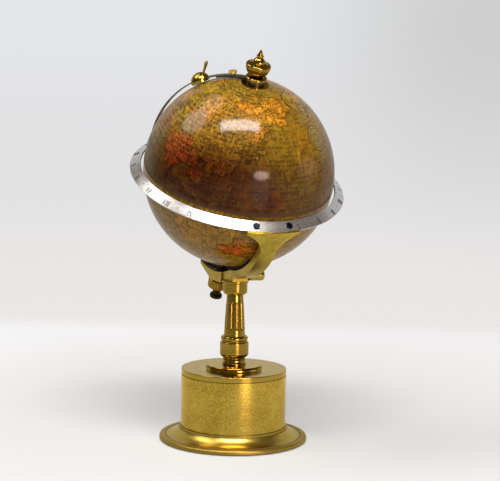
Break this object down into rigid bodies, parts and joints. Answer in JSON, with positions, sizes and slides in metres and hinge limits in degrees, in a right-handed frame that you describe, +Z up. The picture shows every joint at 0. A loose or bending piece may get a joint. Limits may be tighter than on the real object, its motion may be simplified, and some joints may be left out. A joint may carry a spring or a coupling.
{
  "type": "globe clock",
  "caption": "Terrestrial globe turning daily inside a fixed silvered hour ring, with a pointer arc, on a fluted brass column and weighted drum foot.",
  "frame": {"origin": "centre of the foot's underside, on the column's axis, where the clock stands on the table", "axes": "+Z up the column; the globe's pole and the hour ring's fixing tab lean to the front, -Y; +X is to the right seen from the front"},
  "size_m": [0.144, 0.1321, 0.2612],
  "materials": {
    "brass": "polished, lightly aged",
    "turned_brass": "turned and polished",
    "aged_brass": "satin, finely speckled with age",
    "satin_brass": "satin",
    "dark_brass": "darkened, satin",
    "blackened_brass": "blackened",
    "movement_brass": "lacquered",
    "silvered_brass": "silvered and engraved",
    "steel": "bright",
    "blued_steel": "blued",
    "iron": "as cast",
    "baize": "napped",
    "varnished_map": "varnished gloss"
  },
  "bodies": {
    "stand": {"baize_pad": "baize", "foot_plate": "turned_brass", "ballast": "iron", "ballast_screws": "steel", "drum": "aged_brass", "drum_lid": "turned_brass", "lid_disc": "turned_brass", "column_knop": "turned_brass", "column_shaft": "turned_brass", "column_head": "turned_brass", "tie_rod": "steel", "tie_rod_nut": "steel", "cradle": "satin_brass", "pivot_arm": "satin_brass", "clamp_bolt": "satin_brass", "hour_ring": "silvered_brass", "ring_screws": "blued_steel", "lower_axle": "steel", "pole_plate": "blackened_brass", "lower_plate": "movement_brass", "upper_plate": "movement_brass", "plate_pillars": "movement_brass", "upper_axle": "steel", "click_screw": "steel", "intermediate_bridge": "movement_brass", "escapement_case": "movement_brass", "balance_cock": "movement_brass"},
    "globe": {"globe_north": "varnished_map", "globe_south": "varnished_map", "south_bush": "brass", "north_cap": "brass", "day_wheel": "movement_brass"},
    "pointer": {"arc_root": "dark_brass", "arc_spacer": "dark_brass", "pointer_arc": "dark_brass"},
    "arc_thumb_screw": {"arc_screw": "brass"},
    "slider": {"slider_shoe": "brass", "slider_dome": "brass", "slider_lever": "brass"},
    "finial_nut": {"finial": "brass"},
    "nut": {"pole_nut": "brass"},
    "winding": {"winding_rod": "steel", "winding_knob": "blackened_brass"},
    "barrel_core": {"barrel_arbor": "steel", "winding_wheel": "movement_brass", "ratchet_wheel": "steel"},
    "barrel": {"mainspring_barrel": "movement_brass"},
    "centre": {"centre_wheel": "movement_brass"},
    "intermediate": {"intermediate_wheel": "movement_brass"},
    "balance": {"balance_wheel": "movement_brass"},
    "click": {"winding_click": "steel"}
  },
  "joints": [
    {"name": "globe_turn", "type": "hinge", "parent": "stand", "child": "globe", "pos_m": [0, -0.003, 0.1815], "axis": [0, -0.3987, 0.9171], "continuous": true},
    {"name": "pointer_turn", "type": "hinge", "parent": "globe", "child": "pointer", "pos_m": [0, -0.02932, 0.24203], "axis": [0, -0.3987, 0.9171], "continuous": true},
    {"name": "slider_run", "type": "hinge", "parent": "pointer", "child": "slider", "pos_m": [0, -0.00264, 0.18068], "axis": [-0.723, -0.6336, -0.2755], "range_deg": [-5, 46]},
    {"name": "arc_screw_turn", "type": "hinge", "parent": "pointer", "child": "arc_thumb_screw", "pos_m": [-0.0112, -0.01782, 0.24496], "axis": [-0.1671, -0.2265, 0.9596], "continuous": true},
    {"name": "finial_turn", "type": "hinge", "parent": "globe", "child": "finial_nut", "pos_m": [0, -0.03091, 0.24569], "axis": [0, -0.3987, 0.9171], "continuous": true},
    {"name": "pole_nut_turn", "type": "hinge", "parent": "stand", "child": "nut", "pos_m": [0, 0.03129, 0.10263], "axis": [0, -0.3987, 0.9171], "continuous": true},
    {"name": "arbor_turn", "type": "hinge", "parent": "stand", "child": "barrel_core", "pos_m": [0.021, -0.003, 0.1815], "axis": [0, -0.3987, 0.9171], "continuous": true},
    {"name": "winding_turn", "type": "hinge", "parent": "stand", "child": "winding", "pos_m": [0, 0.03289, 0.09896], "axis": [0, -0.3987, 0.9171], "continuous": true},
    {"name": "barrel_turn", "type": "hinge", "parent": "stand", "child": "barrel", "pos_m": [0.021, -0.0038, 0.18333], "axis": [0, -0.3987, 0.9171], "continuous": true},
    {"name": "centre_turn", "type": "hinge", "parent": "stand", "child": "centre", "pos_m": [0.01736, -0.02197, 0.17325], "axis": [0, -0.3987, 0.9171], "continuous": true},
    {"name": "intermediate_turn", "type": "hinge", "parent": "stand", "child": "intermediate", "pos_m": [0, -0.03988, 0.17855], "axis": [0, -0.3987, 0.9171], "continuous": true},
    {"name": "balance_swing", "type": "hinge", "parent": "stand", "child": "balance", "pos_m": [-0.00854, -0.02194, 0.17872], "axis": [0, -0.3987, 0.9171], "range_deg": [-135, 135], "stiffness_Nm_per_rad": 0.00002},
    {"name": "click_swing", "type": "hinge", "parent": "stand", "child": "click", "pos_m": [0.021, 0.00224, 0.19578], "axis": [0, -0.3987, 0.9171], "range_deg": [-8, 2], "stiffness_Nm_per_rad": 0.0005}
  ],
  "couplings": [
    {"joint": "barrel_turn", "follows": "globe_turn", "ratio": -4},
    {"joint": "centre_turn", "follows": "globe_turn", "ratio": 24},
    {"joint": "intermediate_turn", "follows": "globe_turn", "ratio": -6},
    {"joint": "winding_turn", "follows": "arbor_turn", "ratio": -3}
  ]
}
